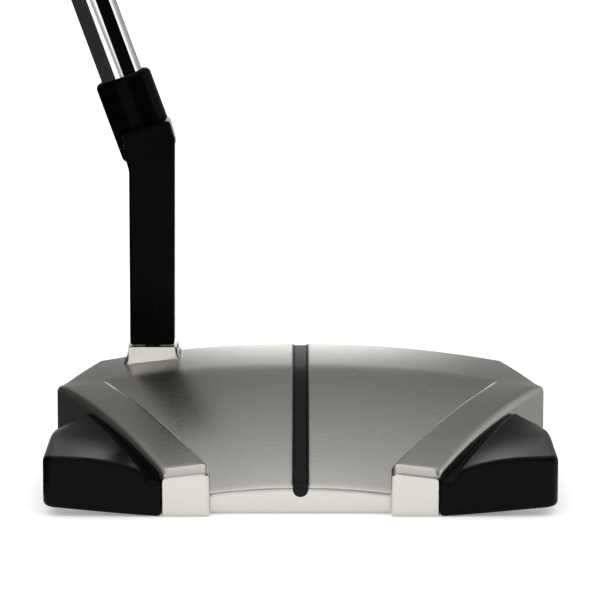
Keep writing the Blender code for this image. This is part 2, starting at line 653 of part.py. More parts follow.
def main():
    for leftover in list(bpy.data.objects):
        bpy.data.objects.remove(leftover)

    milled = make_material("milled_aluminium", (0.36, 0.35, 0.32), 0.32, 1.0)
    black = make_material("black_steel", (0.012, 0.012, 0.013), 0.28, 0.4)
    sight = make_material("sight_black", (0.01, 0.01, 0.01), 0.35, 0.0)
    polymer = make_material("insert_polymer", (0.05, 0.05, 0.055), 0.45, 0.0)
    backing = make_material("backing_film", (0.6, 0.6, 0.55), 0.6, 0.0)
    steel = make_material("sole_steel", (0.45, 0.45, 0.46), 0.3, 1.0)
    fastener = make_material("fastener_steel", (0.2, 0.2, 0.21), 0.35, 1.0)
    foam = make_material("damping_foam", (0.1, 0.1, 0.11), 0.9, 0.0)
    urethane = make_material("urethane", (0.03, 0.03, 0.03), 0.6, 0.0)
    seal = make_material("seal_rubber", (0.02, 0.02, 0.02), 0.5, 0.0)
    chrome = make_material("chrome", (0.8, 0.8, 0.82), 0.05, 1.0)
    plug = make_material("plug_plastic", (0.5, 0.5, 0.5), 0.5, 0.0)
    tape = make_material("tape", (0.7, 0.66, 0.55), 0.8, 0.0)
    rubber = make_material("grip_rubber", (0.02, 0.02, 0.022), 0.7, 0.0)
    cap = make_material("cap_rubber", (0.05, 0.05, 0.05), 0.6, 0.0)

    make_head_body(milled)
    inlay = sight_line_strip(SIGHT_WIDTH / 2 - GAP, INLAY_TOP, INLAY_BOTTOM, FACE_Y - 0.5, NOTCH_Y + 0.6)
    finish_piece("sight_line", inlay, sight)
    make_face_insert(polymer, backing)
    make_sole_plate(steel, fastener, foam)
    for name, side in SIDES:
        make_wing(name, side, black, urethane, fastener)
        make_weight(name, side, steel, fastener, seal)
    make_neck(black, fastener)
    make_shaft_and_grip(shaft_frame(), chrome, plug, tape, rubber, cap)


main()
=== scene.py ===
"""The looks of the mallet putter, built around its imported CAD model.

Lengths are in millimetres and finish_piece() turns them into metres. +X is towards the toe, +Y towards the
target and +Z up, as in the CAD model.
"""

import math
from collections import Counter

import bmesh
import bpy
import numpy as np
from mathutils import Matrix, Vector
from mathutils.geometry import delaunay_2d_cdt


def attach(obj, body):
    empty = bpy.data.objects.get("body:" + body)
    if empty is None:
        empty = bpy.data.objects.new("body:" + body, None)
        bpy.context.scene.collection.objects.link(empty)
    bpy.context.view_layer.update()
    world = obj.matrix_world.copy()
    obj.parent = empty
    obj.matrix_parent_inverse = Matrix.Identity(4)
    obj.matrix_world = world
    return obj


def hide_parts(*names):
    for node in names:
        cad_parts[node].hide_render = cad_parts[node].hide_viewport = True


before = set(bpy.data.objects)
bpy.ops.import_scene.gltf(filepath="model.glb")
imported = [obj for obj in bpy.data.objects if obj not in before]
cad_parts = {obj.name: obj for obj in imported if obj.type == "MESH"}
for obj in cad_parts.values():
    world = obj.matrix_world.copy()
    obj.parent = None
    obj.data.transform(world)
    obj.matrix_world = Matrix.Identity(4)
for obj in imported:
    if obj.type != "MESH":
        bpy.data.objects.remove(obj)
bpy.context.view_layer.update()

MM = 0.001
SIDES = (("heel", -1), ("toe", 1))

# Head outline and heights: the CAD model's, with the rear blocks, ridge, groove and deck refined
FACE_Y, REAR_Y = 36.0, -36.0
FACE_CORNER_X = 44.9
SHOULDER_X, SHOULDER_Y = 53.0, 17.1
BLOCK_OUTER_X, BLOCK_INNER_X = 28.2, 17.7
NOTCH_Y = -33.0
LOFT = math.radians(3.0)
FACE_TOP_Z = 23.9
ROLL_Y, ROLL_Z, STEEP_Y = 16.3, 22.76, 10.3
EDGE_SLOPE, FRONT_SLOPE, ROLL_SLOPE, REAR_SLOPE = 0.02, 0.1, 0.22, 0.54
FRONT_ARCH, REAR_ARCH = 0.00205, 0.0035
RIDGE_FRONT, RIDGE_REAR_X = (45.0, 20.6), 19.1
RIDGE_Z, RIDGE_DROP = 19.0, 0.00276
RIDGE_FADE = 6.5
ARM_SLOPE = 0.12
SOLE_FLAT_X, SOLE_RISE = 28.0, 0.1

# Wings, with a tighter gap and a higher crease than the CAD model's
WING_X, WING_GAP = 52.7, 0.15
WING_EDGE_Z, WING_TIP_Z, WING_FALL_Y = 12.5, 8.0, -13.0
CREASE_REAR_Z, CREASE_TOP_Z, CREASE_TIP_Z = 9.5, 14.8, 8.0
CHANNEL_WIDTH, CHANNEL_Z = 3.5, 7.3

# Neck, shaft and grip
LIE = math.radians(20.0)
BARREL_TOP = (-39.4, 39.0, 83.2)
CLUB_LENGTH = 863.6
BUTT = CLUB_LENGTH - BARREL_TOP[2] / math.cos(LIE)
SHAFT_FRAME = Matrix.Translation(BARREL_TOP) @ Matrix.Rotation(-LIE, 4, "Y")


# ---------------------------------------------------------------- small mathematics

def clamp(value, low=0.0, high=1.0):
    return max(low, min(high, value))


def ease(part):
    """A smooth step from 0 to 1."""
    part = clamp(part)
    return part * part * (3 - 2 * part)


def soft_max(a, b, width):
    """The larger of two heights, with a fillet where they cross."""
    near = max(width - abs(a - b), 0.0) / width
    return max(a, b) + near * near * width / 4


def soft_min(a, b, width):
    return -soft_max(-a, -b, width)


# ---------------------------------------------------------------- head surfaces

def outer_x(y):
    """Half width of the milled body."""
    if y > SHOULDER_Y:
        return FACE_CORNER_X + (FACE_Y - y) / (FACE_Y - SHOULDER_Y) * (SHOULDER_X - FACE_CORNER_X)
    return SHOULDER_X + (SHOULDER_Y - y) / (SHOULDER_Y - REAR_Y) * (BLOCK_OUTER_X - SHOULDER_X)


def ridge_x(y):
    """The arm's inner edge, as a straight line in plan."""
    front_x, front_y = RIDGE_FRONT
    return RIDGE_REAR_X + (y - REAR_Y) / (front_y - REAR_Y) * (front_x - RIDGE_REAR_X)


RIDGE_LEAN = math.atan2(RIDGE_FRONT[0] - RIDGE_REAR_X, RIDGE_FRONT[1] - REAR_Y)


def centre_z(y):
    """Height of the deck on the sight line."""
    if y >= ROLL_Y:
        ahead = y - ROLL_Y
        bend = (FRONT_SLOPE - EDGE_SLOPE) / (FACE_Y - ROLL_Y)
        return ROLL_Z + FRONT_SLOPE * ahead - 0.5 * bend * ahead ** 2
    back = min(ROLL_Y - y, ROLL_Y - STEEP_Y)
    bend = (ROLL_SLOPE - FRONT_SLOPE) / (ROLL_Y - STEEP_Y)
    height = ROLL_Z - FRONT_SLOPE * back - 0.5 * bend * back ** 2
    if y < STEEP_Y:
        back = STEEP_Y - y
        bend = (REAR_SLOPE - ROLL_SLOPE) / (STEEP_Y - NOTCH_Y)
        height -= ROLL_SLOPE * back + 0.5 * bend * back ** 2
    return height


def deck_z(x, y):
    rear_part = max(0.0, (ROLL_Y - y) / (ROLL_Y - NOTCH_Y))
    return centre_z(y) - (FRONT_ARCH + rear_part * (REAR_ARCH - FRONT_ARCH)) * x ** 2


RIDGE_ROUND, RIDGE_FILLET, RIDGE_WALL = 0.55, 0.7, 0.12
RIDGE_SPREAD = 1.3


def ridge_spread(y):
    """How far the step's wall stands inside the ridge: its top rounds more and more towards the rear."""
    return RIDGE_SPREAD * clamp(y / REAR_Y) ** 2


def stepped(x, y):
    """The deck, the arm and the step between them, which is rounded at its top and filleted at its foot."""
    x = abs(x)
    deck = deck_z(x, y)
    out = (x - ridge_x(y)) * math.cos(RIDGE_LEAN) + ridge_spread(y)
    breadth = RIDGE_ROUND + 0.75 * ridge_spread(y)
    ridge = RIDGE_Z - RIDGE_DROP * max(0.0, RIDGE_FRONT[1] - y) ** 2
    arm = soft_max(ridge - ARM_SLOPE * (x - ridge_x(y)), deck - 0.02, 0.15)
    if y > RIDGE_FRONT[1]:
        return deck
    step = (arm - deck) * ease((RIDGE_FRONT[1] - y) / RIDGE_FADE)
    arm = deck + step
    if out >= breadth:
        return arm
    if out <= -RIDGE_WALL - RIDGE_FILLET:
        return deck
    top = min(breadth, 0.45 * step)
    foot = min(RIDGE_FILLET, 0.45 * step)
    if out >= 0:
        return arm - top * (1 - math.sqrt(max(0.0, 1 - (1 - out / breadth) ** 2)))
    if out <= -RIDGE_WALL:
        part = 1 + (out + RIDGE_WALL) / RIDGE_FILLET
        return deck + foot * (1 - math.sqrt(max(0.0, 1 - part ** 2)))
    return deck + foot + (1 + out / RIDGE_WALL) * (arm - top - deck - foot)


BOSS_LOW_X, BOSS_HIGH_X, BOSS_REAR_Y, BOSS_FRONT_Y = -37.7, -27.3, 27.1, 35.2
BOSS_TOP_Z = 24.5


def boss_z(x, y):
    """The neck's boss: a flat top with steep sides, which spread at the foot on the toe side."""
    side_x = max(BOSS_LOW_X - x, (x - BOSS_HIGH_X) * 0.75)
    past = math.hypot(max(0.0, side_x), max(0.0, BOSS_REAR_Y - y, y - BOSS_FRONT_Y))
    edge = max(0.0, past - 0.12)
    return BOSS_TOP_Z - 0.8 * min(past, 0.12) - 5.5 * edge


GROOVE_HALF, GROOVE_DEPTH, GROOVE_CHAMFER = 1.65, 0.85, 0.22
REAR_BEVEL = 1.7


def body_z(x, y):
    """The whole upper surface of the milled body."""
    height = stepped(x, y)
    if y < NOTCH_Y + 1:
        bevel = stepped(x, REAR_Y + REAR_BEVEL) - (REAR_Y + REAR_BEVEL - y)
        height = soft_min(height, bevel, 0.25) if abs(x) > BLOCK_INNER_X - 1 and y < NOTCH_Y else height
    if x < -20 and y > 18:
        height = soft_max(height, boss_z(x, y), 1.3)
    side = abs(x)
    if side < GROOVE_HALF + GROOVE_CHAMFER:
        depth = GROOVE_DEPTH * ease((y - NOTCH_Y - 0.8) / 1.5)
        if side > GROOVE_HALF:
            return height - 0.2 * (1 - (side - GROOVE_HALF) / GROOVE_CHAMFER) ** 2
        wall = clamp((GROOVE_HALF - side) / 0.06)
        return height - 0.2 - (depth - 0.2) * wall if depth > 0.2 else height - depth
    return height


def sole_z(x, _y=0.0):
    past = max(0.0, abs(x) - SOLE_FLAT_X)
    return SOLE_RISE * past ** 2 / (past + 5.0)


# ---------------------------------------------------------------- mesh builders

def loft(rows, closed=False):
    """A body through loops of points of equal length. Its ends are filled, or joined when closed."""
    bm = bmesh.new()
    loops = [[bm.verts.new(point) for point in row] for row in rows]
    count = len(loops[0])
    pairs = list(zip(loops, loops[1:]))
    if closed:
        pairs.append((loops[-1], loops[0]))
    for near, far in pairs:
        for i in range(count):
            j = (i + 1) % count
            bm.faces.new((near[i], near[j], far[j], far[i]))
    if not closed:
        bm.faces.new(loops[0])
        bm.faces.new(loops[-1])
    return bm


def prism(outline, low, high, axis="z"):
    place = {
        "x": lambda a, b, along: (along, a, b),
        "y": lambda a, b, along: (a, along, b),
        "z": lambda a, b, along: (a, b, along),
    }[axis]
    return loft([[place(a, b, along) for a, b in outline] for along in (low, high)])


def box(low, high):
    outline = ((low[0], low[1]), (high[0], low[1]), (high[0], high[1]), (low[0], high[1]))
    return prism(outline, low[2], high[2])


def turned(profile, steps, ring=False):
    """A profile of (radius, height) turned about Z. With ring, its last point joins its first."""
    bm = bmesh.new()
    angles = [2 * math.pi * i / steps for i in range(steps)]
    loops = []
    for radius, height in profile:
        if radius == 0:
            loops.append([bm.verts.new((0, 0, height))])
        else:
            spots = [(radius * math.cos(a), radius * math.sin(a), height) for a in angles]
            loops.append([bm.verts.new(spot) for spot in spots])
    pairs = list(zip(loops, loops[1:]))
    if ring:
        pairs.append((loops[-1], loops[0]))
    for low, high in pairs:
        for i in range(steps):
            j = (i + 1) % steps
            corners = (low[i % len(low)], low[j % len(low)], high[j % len(high)], high[i % len(high)])
            bm.faces.new(dict.fromkeys(corners))
    return bm


def drill(radius, low, high, steps=32, place=(0, 0)):
    """An upright round cutter."""
    return moved(turned(((0, low), (radius, low), (radius, high), (0, high)), steps), (*place, 0))


def rounded(profile, radii, steps=5):
    """A closed profile with its corners rounded by the given radii."""
    points = []
    count = len(profile)
    for i in range(count):
        corner = Vector(profile[i])
        before = Vector(profile[i - 1]) - corner
        after = Vector(profile[(i + 1) % count]) - corner
        radius = radii[i] if isinstance(radii, (list, tuple)) else radii
        if radius == 0:
            points.append(tuple(corner))
            continue
        half = before.angle(after) / 2
        reach = min(radius / math.tan(half), 0.49 * before.length, 0.49 * after.length)
        start, end = corner + before.normalized() * reach, corner + after.normalized() * reach
        for k in range(steps + 1):
            t = k / steps
            points.append(tuple((1 - t) ** 2 * start + 2 * t * (1 - t) * corner + t ** 2 * end))
    return points


def moved(bm, offset=(0, 0, 0), matrix=None):
    if matrix is not None:
        bmesh.ops.transform(bm, matrix=matrix, verts=bm.verts)
    bmesh.ops.translate(bm, vec=offset, verts=bm.verts)
    return bm


class Outline:
    """A closed plan outline, counter-clockwise, with rounded corners and an edge break on each side.

    corners: (x, y, plan radius, edge break of the side that starts here). spacing: a function of a point.
    """

    def __init__(self, corners, spacing, limit=None):
        self.samples = []
        self.limit = limit
        count = len(corners)
        spots = [Vector(corner[:2]) for corner in corners]
        along = [(spots[(i + 1) % count] - spots[i]).normalized() for i in range(count)]
        turns = [along[i - 1].angle(along[i]) for i in range(count)]
        reach = [corners[i][2] * math.tan(turns[i] / 2) for i in range(count)]
        for i in range(count):
            radius, breadth = corners[i][2:]
            inward_before, inward = (Vector((-d.y, d.x)) for d in (along[i - 1], along[i]))
            convex = along[i - 1].cross(along[i]) > 0
            centre = spots[i] - along[i - 1] * reach[i] + inward_before * (radius if convex else -radius)
            mitre = (inward + inward_before).normalized() / math.cos(turns[i] / 2)
            steps = max(4, round(radius * turns[i] / 0.25))
            for k in range(steps + 1):
                part = k / steps
                facing = inward_before.slerp(inward, part)
                edge = corners[i - 1][3] + (breadth - corners[i - 1][3]) * ease(part)
                self.samples.append((centre, facing, radius, convex, spots[i], mitre, edge))
            start = spots[i] + along[i] * reach[i]
            length = (spots[(i + 1) % count] - spots[i]).length - reach[i] - reach[(i + 1) % count]
            gone = spacing(start)
            while gone < length - 0.1:
                here = start + along[i] * gone
                self.samples.append((here, inward, 0.0, False, None, None, breadth))
                gone += spacing(here)

    def ring(self, inset):
        """The outline moved inwards by inset(edge break), with the edge break of each of its points."""
        points = []
        for centre, facing, radius, convex, corner, mitre, edge in self.samples:
            spot = centre + facing * (radius if not convex else -radius)
            if self.limit:
                edge = min(edge, self.limit(spot))
            depth = inset(edge)
            if not convex:
                spot = centre + facing * (radius + depth)
            elif depth <= radius:
                spot = centre - facing * (radius - depth)
            else:
                spot = corner + mitre * depth
            points.append((spot.x, spot.y, edge))
        return points


def inside(points, polygon):
    """Which of the points lie inside a polygon."""
    x, y = points[:, 0], points[:, 1]
    found = np.zeros(len(points), bool)
    last = polygon[-1]
    for here in polygon:
        if here[1] != last[1]:
            crosses = (here[1] > y) != (last[1] > y)
            at = (last[0] - here[0]) * (y - here[1]) / (last[1] - here[1]) + here[0]
            found ^= crosses & (x < at)
        last = here
    return found


def clear_of(points, others, gap):
    """Which of the points keep a distance from all the others."""
    keep = np.ones(len(points), bool)
    for start in range(0, len(others), 64):
        block = others[start:start + 64]
        near = ((points[:, None, :] - block[None, :, :]) ** 2).sum(2).min(1)
        keep &= near > gap * gap
    return keep


THINNEST = 1e-3


def sides_of(face):
    return [frozenset(pair) for pair in zip(face, face[1:] + face[:1])]


def is_thin(face, spots):
    a, b, c = (spots[k] for k in face[:3])
    longest = max((a - b).length, (b - c).length, (c - a).length)
    return abs((b - a).cross(c - a)) < THINNEST * longest ** 2


def without_slivers(faces, spots, rim_sides):
    """The triangles less the flat ones that lie over the rim, so that their only border is the rim."""
    while True:
        uses = Counter(side for face in faces for side in sides_of(face))
        bordered = {side for side in uses if uses[side] > 1 or side in rim_sides}
        kept = [face for face in faces if not is_thin(face, spots) or bordered.issuperset(sides_of(face))]
        if len(kept) == len(faces):
            return kept
        faces = kept


def fill(bm, rim, height, lines, grid, margin=0.3):
    """A triangulated surface inside a rim of vertices, through ridge lines and loose points."""
    polygon = np.array([vert.co[:2] for vert in rim])
    points, edges = [tuple(spot) for spot in polygon], []
    for line in lines:
        line = np.array(line)
        keep = inside(line, polygon) & clear_of(line, polygon, margin)
        for k, spot in enumerate(line):
            if keep[k]:
                points.append(tuple(spot))
                if k and keep[k - 1]:
                    edges.append((len(points) - 2, len(points) - 1))
    fixed = np.array(points)
    grid = grid[inside(grid, polygon) & clear_of(grid, fixed, 0.55 * GRID)]
    points += [tuple(spot) for spot in grid]
    points = [Vector(spot) for spot in points]
    spots, _, faces, sources, _, _ = delaunay_2d_cdt(points, edges, [list(range(len(rim)))], 1, 1e-7, True)
    verts, place = [], list(range(len(rim)))
    for k, (spot, source) in enumerate(zip(spots, sources)):
        first = min(source) if source else len(rim)
        if first < len(rim):
            verts.append(rim[first])
            for shared in source:
                if shared < len(rim):
                    place[shared] = k
        else:
            verts.append(bm.verts.new((spot.x, spot.y, height(spot.x, spot.y))))
    middles = np.array([sum((spots[k] for k in face), Vector((0, 0))) / len(face) for face in faces])
    kept = [list(face) for face, within in zip(faces, inside(middles, polygon)) if within]
    for face in without_slivers(kept, spots, set(sides_of(place))):
        corners = [verts[k] for k in face]
        if bm.faces.get(corners) is None:
            bm.faces.new(corners)


ROUND_STEPS = 6
GRID = 0.9


def plan_grid(low_x, low_y, high_x, high_y, pitch):
    """Loose points in staggered rows."""
    rows = []
    for k, y in enumerate(np.arange(low_y, high_y, pitch * 0.87)):
        rows += [(x + (k % 2) * pitch / 2, y) for x in np.arange(low_x, high_x, pitch)]
    return np.array(rows)


def machined_block(outline, top, bottom, bottom_break, lines, grid):
    """A solid with an upright wall on an outline, a shaped top and underside, and rounded edges."""
    bm = bmesh.new()
    rings = []
    for k in range(ROUND_STEPS + 1):
        angle = math.pi / 2 * k / ROUND_STEPS
        flat = outline.ring(lambda edge: bottom_break * (1 - math.sin(angle)))
        rings.append([(x, y, bottom(x, y) + bottom_break * (1 - math.cos(angle))) for x, y, _ in flat])
    rings.append([(x, y, z + 0.15) for x, y, z in rings[-1]])
    wall = outline.ring(lambda edge: 0.0)
    rings.append([(x, y, top(x, y) - edge - 0.15) for x, y, edge in wall])
    for k in range(ROUND_STEPS + 1):
        angle = math.pi / 2 * k / ROUND_STEPS
        flat = outline.ring(lambda edge: edge * (1 - math.cos(angle)))
        rings.append([(x, y, top(x, y) - edge * (1 - math.sin(angle))) for x, y, edge in flat])
    loops = [[bm.verts.new(point) for point in ring] for ring in rings]
    count = len(loops[0])
    for low, high in zip(loops, loops[1:]):
        for i in range(count):
            j = (i + 1) % count
            bm.faces.new((low[i], low[j], high[j], high[i]))
    fill(bm, loops[-1], top, lines, grid)
    fill(bm, loops[0], bottom, [], grid)
    bmesh.ops.remove_doubles(bm, verts=bm.verts, dist=1e-4)
    bmesh.ops.dissolve_degenerate(bm, edges=bm.edges, dist=1e-5)
    return bm


# ---------------------------------------------------------------- objects

def finish_piece(name, bm, material, body, replaces=(), smooth=34, matrix=None):
    """A named piece in metres that rides on a CAD body and stands for CAD nodes."""
    bmesh.ops.recalc_face_normals(bm, faces=bm.faces)
    if matrix is not None:
        bmesh.ops.transform(bm, matrix=matrix, verts=bm.verts)
    bmesh.ops.scale(bm, vec=(MM, MM, MM), verts=bm.verts)
    mesh = bpy.data.meshes.new(name)
    bm.to_mesh(mesh)
    bm.free()
    piece = bpy.data.objects.new(name, mesh)
    bpy.context.scene.collection.objects.link(piece)
    mesh.materials.append(material)
    mesh.shade_smooth()
    mesh.set_sharp_from_angle(angle=math.radians(smooth))
    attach(piece, body)
    if replaces:
        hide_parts(*replaces)
    return piece


def solid(bm):
    """A hidden helper mesh in metres, for cutting and joining."""
    bmesh.ops.recalc_face_normals(bm, faces=bm.faces)
    mesh = bpy.data.meshes.new("helper")
    bm.to_mesh(mesh)
    bm.free()
    helper = bpy.data.objects.new("helper", mesh)
    bpy.context.scene.collection.objects.link(helper)
    return helper


def carved(bm, *steps):
    """The mesh after a chain of Boolean steps, each an operation and another mesh."""
    base = solid(bm)
    helpers = []
    for operation, other in steps:
        helper = solid(other)
        helpers.append(helper)
        modifier = base.modifiers.new(operation, "BOOLEAN")
        modifier.operation = operation
        modifier.solver = "EXACT"
        modifier.object = helper
    result = bmesh.new()
    shape = base.evaluated_get(bpy.context.evaluated_depsgraph_get()).to_mesh()
    result.from_mesh(shape)
    for leftover in (base, *helpers):
        bpy.data.objects.remove(leftover)
    return result


def joined(parts):
    """Several separate bodies in one mesh."""
    whole = bmesh.new()
    for bm in parts:
        mesh = bpy.data.meshes.new("part")
        bm.to_mesh(mesh)
        bm.free()
        whole.from_mesh(mesh)
        bpy.data.meshes.remove(mesh)
    return whole


def bevelled(bm, width, segments=3, angle=30):
    """Round every edge sharper than an angle."""
    bmesh.ops.recalc_face_normals(bm, faces=bm.faces)
    edges = [edge for edge in bm.edges if edge.is_manifold and edge.calc_face_angle(0) > math.radians(angle)]
    bmesh.ops.bevel(
        bm, geom=edges, offset=width, segments=segments, profile=0.5, affect="EDGES", clamp_overlap=True)
    return bm


# ---------------------------------------------------------------- materials

def new_material(name, colour, roughness, metallic, **values):
    """A Principled material and its nodes. Values are set on the shader's own sockets."""
    material = bpy.data.materials.new(name)
    material.use_nodes = True
    nodes = material.node_tree.nodes
    shader = nodes["Principled BSDF"]
    shader.inputs["Base Color"].default_value = (*colour, 1)
    shader.inputs["Roughness"].default_value = roughness
    shader.inputs["Metallic"].default_value = metallic
    for socket, value in values.items():
        shader.inputs[socket.replace("_", " ")].default_value = value
    return material


def noise(material, scale, detail=3.0, distortion=0.0):
    """Procedural noise with its own scale along each axis, in cycles per metre."""
    nodes, links = material.node_tree.nodes, material.node_tree.links
    place = nodes.new("ShaderNodeTexCoord")
    stretch = nodes.new("ShaderNodeMapping")
    stretch.inputs["Scale"].default_value = scale
    texture = nodes.new("ShaderNodeTexNoise")
    texture.inputs["Scale"].default_value = 1.0
    texture.inputs["Detail"].default_value = detail
    texture.inputs["Distortion"].default_value = distortion
    links.new(place.outputs["Object"], stretch.inputs["Vector"])
    links.new(stretch.outputs["Vector"], texture.inputs["Vector"])
    return texture.outputs["Fac"]


def spread(material, source, low, high, socket):
    """Drive a shader socket between two values from a texture."""
    nodes, links = material.node_tree.nodes, material.node_tree.links
    span = nodes.new("ShaderNodeMapRange")
    span.inputs["From Min"].default_value = 0.3
    span.inputs["From Max"].default_value = 0.7
    span.inputs["To Min"].default_value = low
    span.inputs["To Max"].default_value = high
    links.new(source, span.inputs["Value"])
    links.new(span.outputs["Result"], nodes["Principled BSDF"].inputs[socket])


def tint(material, source, dark, light):
    """Mix two base colours from a texture."""
    nodes, links = material.node_tree.nodes, material.node_tree.links
    ramp = nodes.new("ShaderNodeValToRGB")
    ramp.color_ramp.elements[0].position = 0.3
    ramp.color_ramp.elements[1].position = 0.7
    ramp.color_ramp.elements[0].color = (*dark, 1)
    ramp.color_ramp.elements[1].color = (*light, 1)
    links.new(source, ramp.inputs["Fac"])
    links.new(ramp.outputs["Color"], nodes["Principled BSDF"].inputs["Base Color"])


def relief(material, source, distance, strength=1.0):
    """A bump, with its height in metres."""
    nodes, links = material.node_tree.nodes, material.node_tree.links
    bump = nodes.new("ShaderNodeBump")
    bump.inputs["Distance"].default_value = distance
    bump.inputs["Strength"].default_value = strength
    links.new(source, bump.inputs["Height"])
    links.new(bump.outputs["Normal"], nodes["Principled BSDF"].inputs["Normal"])


def scaled(colour, factor):
    return tuple(value * factor for value in colour)


def brushed_metal(name, colour, roughness, along, across, depth, contrast=0.06):
    """Fine lines along X."""
    material = new_material(name, colour, roughness, 1.0)
    lines = noise(material, (along, across, across))
    tint(material, lines, scaled(colour, 1 - contrast), scaled(colour, 1 + contrast))
    spread(material, lines, roughness - 0.04, roughness + 0.04, "Roughness")
    relief(material, lines, depth)
    return material


def turned_metal(name, colour, roughness):
    """Even fine grain."""
    material = new_material(name, colour, roughness, 1.0)
    grain = noise(material, (900, 900, 900), 4)
    tint(material, grain, scaled(colour, 0.93), scaled(colour, 1.07))
    spread(material, grain, roughness - 0.05, roughness + 0.06, "Roughness")
    relief(material, grain, 2e-6)
    return material


def polished_metal(name, colour, roughness):
    """Plated metal with the faintest haze."""
    material = new_material(name, colour, roughness, 1.0)
    haze = noise(material, (120, 120, 120), 2)
    tint(material, haze, scaled(colour, 0.98), scaled(colour, 1.02))
    spread(material, haze, roughness - 0.01, roughness + 0.01, "Roughness")
    return material


def coated(name, colour, roughness, level, grain_size, depth):
    """Paint, plastic or rubber with a fine grain."""
    material = new_material(name, colour, roughness, 0.0, Specular_IOR_Level=level)
    grain = noise(material, (grain_size, grain_size, grain_size), 4)
    tint(material, grain, scaled(colour, 0.9), scaled(colour, 1.1))
    spread(material, grain, roughness - 0.05, roughness + 0.05, "Roughness")
    relief(material, grain, depth)
    return material


ALUMINIUM = brushed_metal("milled_aluminium", (0.615, 0.6, 0.557), 0.3, 60, 5200, 0.25e-6, 0.028)
PLATE_STEEL = brushed_metal("sole_steel", (0.45, 0.45, 0.46), 0.3, 50, 1600, 1.5e-6)
WEIGHT_STEEL = turned_metal("weight_steel", (0.4, 0.4, 0.41), 0.28)
SCREW_STEEL = turned_metal("fastener_steel", (0.2, 0.2, 0.21), 0.3)
CHROME = polished_metal("chrome", (0.8, 0.8, 0.82), 0.05)
BLACK = coated("black_steel", (0.0012, 0.0012, 0.0013), 0.3, 0.06, 2600, 1e-6)
# A more reflective copy of the black steel, used only on the wing's pad tops: a painted sheen that brightens
# them
PAD_SHEEN_BLACK = coated("black_steel_painted_sheen", (0.0012, 0.0012, 0.0013), 0.33, 0.145, 2600, 1e-6)
NECK_BLACK = coated("black_neck", (0.0008, 0.0008, 0.0009), 0.28, 0.035, 2600, 1e-6)
SIGHT_BLACK = coated("sight_black", (0.006, 0.006, 0.006), 0.4, 0.12, 2600, 2e-6)
INSERT = coated("insert_polymer", (0.05, 0.05, 0.055), 0.5, 0.4, 1800, 4e-6)
FILM = coated("backing_film", (0.6, 0.6, 0.55), 0.5, 0.4, 900, 4e-6)
FOAM = coated("damping_foam", (0.1, 0.1, 0.11), 0.9, 0.2, 700, 8e-5)
URETHANE = coated("urethane", (0.03, 0.03, 0.03), 0.6, 0.3, 900, 1e-5)
SEAL = coated("seal_rubber", (0.02, 0.02, 0.02), 0.5, 0.4, 900, 6e-6)
PLUG = coated("plug_plastic", (0.5, 0.5, 0.5), 0.5, 0.4, 700, 6e-6)
TAPE = coated("tape", (0.7, 0.66, 0.55), 0.8, 0.2, 1400, 1e-5)
GRIP_RUBBER = coated("grip_rubber", (0.02, 0.02, 0.022), 0.62, 0.35, 1500, 4e-5)
CAP_RUBBER = coated("cap_rubber", (0.05, 0.05, 0.05), 0.45, 0.4, 1200, 1e-5)


# ---------------------------------------------------------------- the milled body

PITCH = 0.9
RIDGE_OFFSETS = (
    1.9, 1.5, 1.2, 0.95, 0.75, 0.55, 0.4, 0.27, 0.16, 0.08, 0.02, 0,
    -0.12, -0.15, -0.22, -0.32, -0.45, -0.6, -0.82)
GROOVE_LINES = (1.0, 1.59, 1.65, 1.76, 1.87)


def ridge_lines():
    """Lines beside and along the step between deck and arm."""
    lines = []
    for out in RIDGE_OFFSETS:
        for side in (-1, 1):
            line = []
            for y in np.arange(20.4, REAR_Y, -0.6):
                x = ridge_x(y) + (out - ridge_spread(y)) / math.cos(RIDGE_LEAN)
                line.append((side * x, y))
            lines.append(line)
    return lines


def body_outline():
    notch_x = ridge_x(NOTCH_Y) - ridge_spread(NOTCH_Y) / math.cos(RIDGE_LEAN)
    corners = (
        (BLOCK_OUTER_X, REAR_Y, 0.4, 1.3), (SHOULDER_X, SHOULDER_Y, 1.0, 1.0),
        (FACE_CORNER_X, FACE_Y, 0.8, 0.6), (-FACE_CORNER_X, FACE_Y, 0.8, 1.0),
        (-SHOULDER_X, SHOULDER_Y, 1.0, 1.3), (-BLOCK_OUTER_X, REAR_Y, 0.4, 0.25),
        (-BLOCK_INNER_X, REAR_Y, 1.1, 0.2), (-notch_x, NOTCH_Y, 0.5, 0.6),
        (notch_x, NOTCH_Y, 0.5, 0.2), (BLOCK_INNER_X, REAR_Y, 1.1, 0.25),
    )

    def spacing(point):
        if abs(point.x) < 3:
            return 0.12
        return 0.45 if point.y > 30 and -44 < point.x < -22 else PITCH

    return Outline(corners, spacing)


def face_y(z):
    return FACE_Y + (FACE_TOP_Z - z) * math.tan(LOFT)


def face_matrix():
    """The face's own frame: Y out of the face, Z up the face, and the origin on the ground line."""
    return Matrix.Translation((0, face_y(0), 0)) @ Matrix.Rotation(LOFT, 4, "X")


def rounded_box(low_x, low_y, high_x, high_y, radius):
    corners = ((low_x, low_y), (high_x, low_y), (high_x, high_y), (low_x, high_y))
    return rounded(corners, radius, 8)


INSERT_HALF_WIDTH, INSERT_LOW, INSERT_HIGH, INSERT_THICKNESS = 28.5, 4.2, 18.6, 4.0
GAP = 0.3
PLATE_X, PLATE_FRONT_Y, PLATE_REAR_Y, PLATE_THICKNESS = 26.0, 24.0, -18.0, 1.6
PLATE_SCREWS = ((22.7, 20.7), (-22.7, 20.7), (-22.7, -14.7), (22.7, -14.7))
WING_SCREWS = ((46.0, -7.0), (42.5, -24.0))
TAB_OUTLINE = ((43.0, 2.0), (49.0, 2.0), (49.0, -30.0), (27.0, -30.0))
PORT_X, PORT_Y, PORT_RADIUS, PORT_HIGH = 36.0, 13.5, 8.0, 8.05
NECK_SCREW_X, NECK_SCREW_Y = -32.6, 31.0


def insert_block(half_width, grow, depth, proud):
    outline = rounded_box(-half_width, INSERT_LOW - grow, half_width, INSERT_HIGH + grow, 3.0)
    return prism(outline, -depth, proud, "y")


